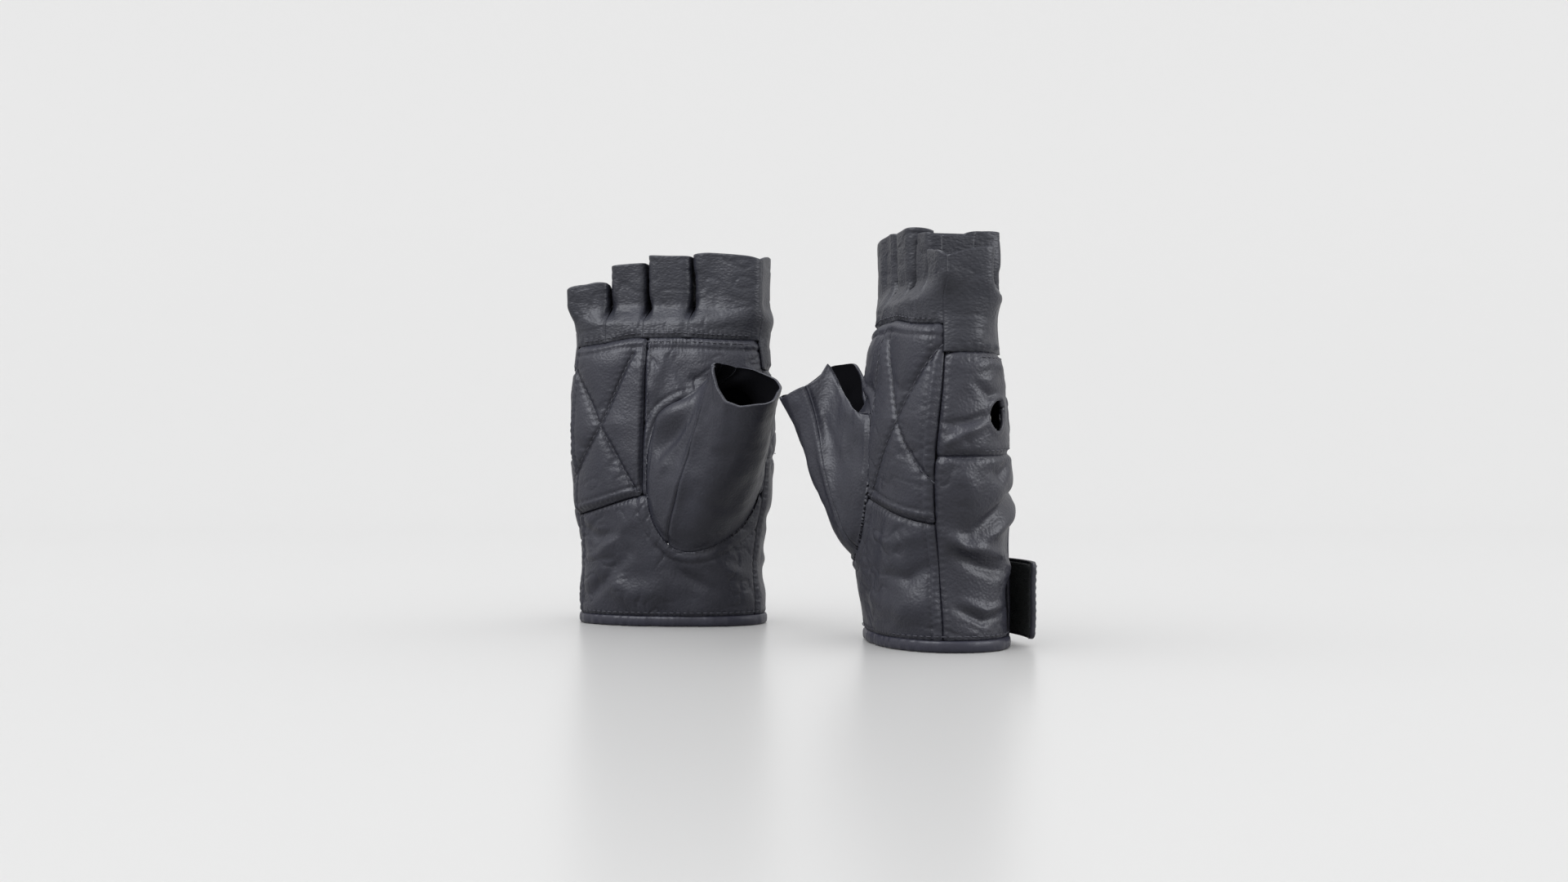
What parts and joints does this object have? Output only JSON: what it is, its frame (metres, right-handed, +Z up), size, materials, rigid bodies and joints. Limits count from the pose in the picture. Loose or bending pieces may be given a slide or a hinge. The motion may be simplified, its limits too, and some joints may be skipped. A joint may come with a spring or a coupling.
{
  "type": "fingerless gloves",
  "caption": "Pair of fingerless leather gloves with quilted palm pads, open knuckles and hook-and-loop wrist straps.",
  "frame": {"origin": "centre of the pair's bounding box, on the surface that the cuffs stand on", "axes": "+Z up along the gloves; +X from the right-hand glove towards the left-hand glove; the right glove's palm faces about -Y, and the left glove's palm faces about -X"},
  "size_m": [0.1988, 0.1801, 0.168],
  "materials": {
    "smooth_leather": "smooth dark slate nappa leather, soft sheen",
    "quilt_leather": "dark slate leather quilted over foam",
    "grained_leather": "dark slate leather with a fine pebble grain",
    "finger_leather": "dark slate stretch leather, fine cross grain",
    "binding_leather": "turned dark slate leather edge",
    "pad_foam": "thin soft foam",
    "backing_cloth": "matt black lining cloth",
    "thread": "dark twisted thread",
    "loop_tape": "black brushed loop tape",
    "hook_tape": "black hook tape"
  },
  "bodies": {
    "right_hand": {"right_palm_heel_panel": "smooth_leather", "right_palm_center_panel": "smooth_leather", "right_palm_quilt_cover": "quilt_leather", "right_palm_foam_pad": "pad_foam", "right_palm_backing": "backing_cloth", "right_back_hand_panel": "grained_leather", "right_knuckle_band": "grained_leather", "right_cuff_binding": "binding_leather", "right_vent_binding": "binding_leather", "right_strap_anchor": "smooth_leather", "right_closure_tab": "smooth_leather", "right_tab_hook_tape": "hook_tape", "right_palm_stitching": "thread", "right_cuff_stitching": "thread"},
    "right_fingers": {"right_finger_front_panel": "finger_leather", "right_finger_back_panel": "grained_leather", "right_index_middle_gusset": "finger_leather", "right_middle_ring_gusset": "finger_leather", "right_ring_little_gusset": "finger_leather"},
    "right_thumb": {"right_thumb_outer_panel": "smooth_leather", "right_thumb_inner_panel": "smooth_leather", "right_thumb_gusset": "smooth_leather"},
    "right_strap": {"right_wrist_strap": "smooth_leather", "right_strap_loop_tape": "loop_tape", "right_strap_stitching": "thread"},
    "left_hand": {"left_palm_heel_panel": "smooth_leather", "left_palm_center_panel": "smooth_leather", "left_palm_quilt_cover": "quilt_leather", "left_palm_foam_pad": "pad_foam", "left_palm_backing": "backing_cloth", "left_back_hand_panel": "grained_leather", "left_knuckle_band": "grained_leather", "left_cuff_binding": "binding_leather", "left_vent_binding": "binding_leather", "left_strap_anchor": "smooth_leather", "left_closure_tab": "smooth_leather", "left_tab_hook_tape": "hook_tape", "left_palm_stitching": "thread", "left_cuff_stitching": "thread"},
    "left_fingers": {"left_finger_front_panel": "finger_leather", "left_finger_back_panel": "grained_leather", "left_index_middle_gusset": "finger_leather", "left_middle_ring_gusset": "finger_leather", "left_ring_little_gusset": "finger_leather"},
    "left_thumb": {"left_thumb_outer_panel": "smooth_leather", "left_thumb_inner_panel": "smooth_leather", "left_thumb_gusset": "smooth_leather"},
    "left_strap": {"left_wrist_strap": "smooth_leather", "left_strap_loop_tape": "loop_tape", "left_strap_stitching": "thread"}
  },
  "joints": [
    {"name": "left_glove_lift", "type": "slide", "parent": "right_hand", "child": "left_hand", "axis": [0, 0, 1], "range_m": [0, 0.2]},
    {"name": "right_finger_fold", "type": "hinge", "parent": "right_hand", "child": "right_fingers", "pos_m": [-0.05548, 0.02989, 0.13], "axis": [0.9848, -0.1736, 0], "range_deg": [0, 30], "stiffness_Nm_per_rad": 0.03},
    {"name": "right_thumb_swing", "type": "hinge", "parent": "right_hand", "child": "right_thumb", "pos_m": [-0.03642, 0.02856, 0.067], "axis": [0.1736, 0.9848, 0], "range_deg": [-10, 10], "stiffness_Nm_per_rad": 0.06},
    {"name": "right_strap_peel", "type": "hinge", "parent": "right_hand", "child": "right_strap", "pos_m": [-0.02423, 0.07464, 0.02075], "axis": [0, 0, -1], "range_deg": [-6.5, 100], "stiffness_Nm_per_rad": 0.004},
    {"name": "left_finger_fold", "type": "hinge", "parent": "left_hand", "child": "left_fingers", "pos_m": [0.03882, -0.04702, 0.13], "axis": [0.2079, -0.9781, 0], "range_deg": [0, 30], "stiffness_Nm_per_rad": 0.03},
    {"name": "left_thumb_swing", "type": "hinge", "parent": "left_hand", "child": "left_thumb", "pos_m": [0.03683, -0.02802, 0.067], "axis": [-0.9781, -0.2079, 0], "range_deg": [-10, 10], "stiffness_Nm_per_rad": 0.06},
    {"name": "left_strap_peel", "type": "hinge", "parent": "left_hand", "child": "left_strap", "pos_m": [0.08246, -0.01423, 0.02075], "axis": [0, 0, 1], "range_deg": [-6.5, 100], "stiffness_Nm_per_rad": 0.004}
  ]
}
